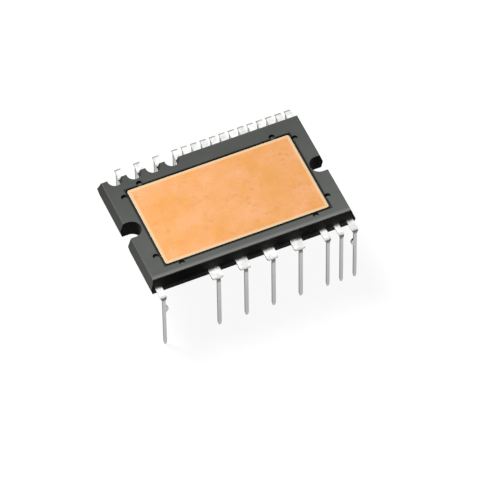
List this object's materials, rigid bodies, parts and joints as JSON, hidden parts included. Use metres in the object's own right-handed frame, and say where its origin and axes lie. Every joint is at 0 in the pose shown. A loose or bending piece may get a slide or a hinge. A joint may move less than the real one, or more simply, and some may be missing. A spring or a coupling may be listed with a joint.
{
  "type": "igbt module",
  "caption": "Flat moulded inverter power module with a copper heat-sink face, screw notches at both ends and a row of bent leads along each long side.",
  "frame": {"origin": "middle of the module at the height of the lead tips", "axes": "+X along the long side, -Y towards the power leads, +Z out of the heat-sink face"},
  "size_m": [0.038, 0.0292, 0.0147],
  "materials": {
    "epoxy": "matte moulded epoxy",
    "copper": "bright matte copper",
    "film": "filled resin film",
    "tinned_lead": "bright tin plating",
    "silicon": "polished silicon",
    "solder": "dull solder",
    "adhesive": "silver-filled adhesive",
    "aluminium_wire": "drawn wire",
    "gold_wire": "drawn wire"
  },
  "bodies": {
    "root": {"mould_body": "epoxy", "copper_foil": "copper", "insulating_film": "film", "terminal_spare": "tinned_lead", "terminal_p": "tinned_lead", "terminal_u": "tinned_lead", "terminal_v": "tinned_lead", "terminal_w": "tinned_lead", "terminal_nu": "tinned_lead", "terminal_nv": "tinned_lead", "terminal_nw": "tinned_lead", "control_lead_02": "tinned_lead", "control_lead_03": "tinned_lead", "control_lead_04": "tinned_lead", "control_lead_05": "tinned_lead", "control_lead_06": "tinned_lead", "control_lead_07": "tinned_lead", "control_lead_08": "tinned_lead", "control_lead_10": "tinned_lead", "control_lead_11": "tinned_lead", "control_lead_12": "tinned_lead", "control_lead_13": "tinned_lead", "control_lead_14": "tinned_lead", "control_lead_15": "tinned_lead", "control_lead_17": "tinned_lead", "ground_frame": "tinned_lead", "igbt_high_u": "silicon", "igbt_high_v": "silicon", "igbt_high_w": "silicon", "igbt_low_u": "silicon", "igbt_low_v": "silicon", "igbt_low_w": "silicon", "diode_high_u": "silicon", "diode_high_v": "silicon", "diode_high_w": "silicon", "diode_low_u": "silicon", "diode_low_v": "silicon", "diode_low_w": "silicon", "high_side_driver": "silicon", "low_side_driver": "silicon", "bootstrap_diode_u": "silicon", "bootstrap_diode_v": "silicon", "bootstrap_diode_w": "silicon", "die_solder": "solder", "driver_adhesive": "adhesive", "power_wires": "aluminium_wire", "gate_wires": "aluminium_wire", "control_wires": "gold_wire"}
  },
  "joints": []
}
